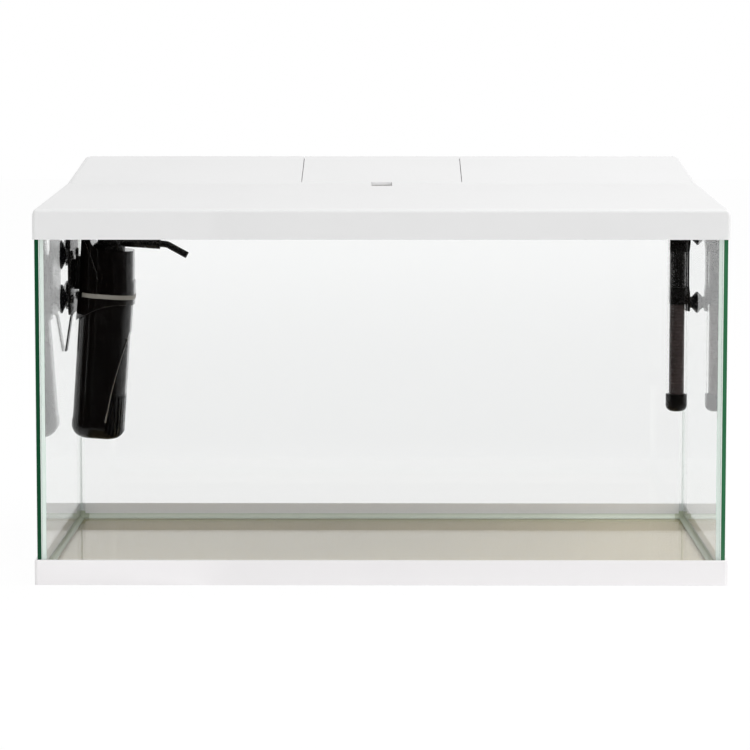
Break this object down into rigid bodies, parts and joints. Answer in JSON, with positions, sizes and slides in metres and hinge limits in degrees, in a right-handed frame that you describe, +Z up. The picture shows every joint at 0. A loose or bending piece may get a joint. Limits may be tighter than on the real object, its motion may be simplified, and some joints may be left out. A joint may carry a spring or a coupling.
{
  "type": "aquarium",
  "caption": "Rectangular glass aquarium with a white sloped hood and feed flap, low white base frame, black internal filter on the left wall and tube heater on the right.",
  "frame": {"origin": "middle of the base frame's underside", "axes": "+X to the right seen from the front, +Y from the front pane to the back pane, +Z up"},
  "size_m": [0.6046, 0.3046, 0.3637],
  "materials": {
    "white_plastic": "satin",
    "clear_glass": "polished",
    "clear_silicone": "satin",
    "foam": "matte",
    "sponge": "matte",
    "black_plastic": "gloss",
    "grey_plastic": "matte",
    "black_rubber": "matte",
    "aluminium": "satin",
    "circuit_board": "matte",
    "lamp_phosphor": "matte",
    "frosted_plastic": "frosted",
    "steel": "brushed",
    "ceramic": "matte",
    "ferrite": "matte"
  },
  "bodies": {
    "tank": {"base_frame": "white_plastic", "base_mat": "foam", "bottom_pane": "clear_glass", "front_pane": "clear_glass", "back_pane": "clear_glass", "left_pane": "clear_glass", "right_pane": "clear_glass", "silicone_seams": "clear_silicone", "filter_bracket": "black_plastic", "filter_suction_cups": "black_rubber", "heater_clip": "black_plastic", "heater_suction_cups": "black_rubber"},
    "hood": {"hood_shell": "white_plastic", "flap_hinge_pins": "steel", "lamp_housing": "aluminium", "lamp_board": "circuit_board", "lamp_chips": "lamp_phosphor", "lamp_lens": "frosted_plastic", "lamp_end_caps": "grey_plastic", "lamp_gland": "black_rubber", "lamp_clips": "white_plastic", "lamp_screws": "steel"},
    "flap": {"feed_flap": "white_plastic"},
    "filter": {"filter_head": "black_plastic", "filter_band": "grey_plastic", "filter_apron": "black_plastic", "impeller_cover": "grey_plastic", "impeller_shaft": "ceramic", "shaft_bush": "black_rubber", "filter_gland": "black_rubber"},
    "canister": {"filter_canister": "black_plastic", "filter_sponge": "sponge"},
    "impeller": {"impeller_wheel": "grey_plastic", "impeller_magnet": "ferrite"},
    "outlet": {"outlet_turret": "black_plastic"},
    "nozzle": {"nozzle_sleeve": "black_plastic", "nozzle_tip": "black_plastic"},
    "heater": {"heater_tube": "clear_glass", "heater_core": "ceramic", "heater_thermostat": "grey_plastic", "heater_stopper": "black_rubber", "heater_foot": "black_plastic", "heater_head": "black_plastic", "heater_gland": "black_rubber"},
    "dial": {"heater_dial": "black_plastic"}
  },
  "joints": [
    {"name": "hood_lift", "type": "slide", "parent": "tank", "child": "hood", "axis": [0, 0, 1], "range_m": [0, 0.15]},
    {"name": "flap_open", "type": "hinge", "parent": "hood", "child": "flap", "pos_m": [0, 0.14757, 0.36009], "axis": [-1, 0, 0], "range_deg": [0, 100]},
    {"name": "filter_lift", "type": "slide", "parent": "tank", "child": "filter", "axis": [0.0698, 0, 0.9976], "range_m": [0, 0.028]},
    {"name": "canister_pull", "type": "slide", "parent": "filter", "child": "canister", "axis": [-0.0698, 0, -0.9976], "range_m": [0, 0.06]},
    {"name": "impeller_spin", "type": "hinge", "parent": "filter", "child": "impeller", "pos_m": [-0.2654, 0.029, 0.1052], "axis": [0.0698, 0, 0.9976], "continuous": true},
    {"name": "outlet_swivel", "type": "hinge", "parent": "filter", "child": "outlet", "pos_m": [-0.2654, 0.029, 0.1052], "axis": [0.0698, 0, 0.9976], "range_deg": [-90, 90]},
    {"name": "nozzle_turn", "type": "hinge", "parent": "outlet", "child": "nozzle", "pos_m": [-0.25251, 0.029, 0.28955], "axis": [0.9976, 0, -0.0698], "continuous": true},
    {"name": "heater_lift", "type": "slide", "parent": "tank", "child": "heater", "axis": [0, 0, 1], "range_m": [0, 0.014]},
    {"name": "dial_turn", "type": "hinge", "parent": "heater", "child": "dial", "pos_m": [0.2775, 0.0414, 0.313], "axis": [0, 0, 1], "range_deg": [-135, 135]}
  ]
}
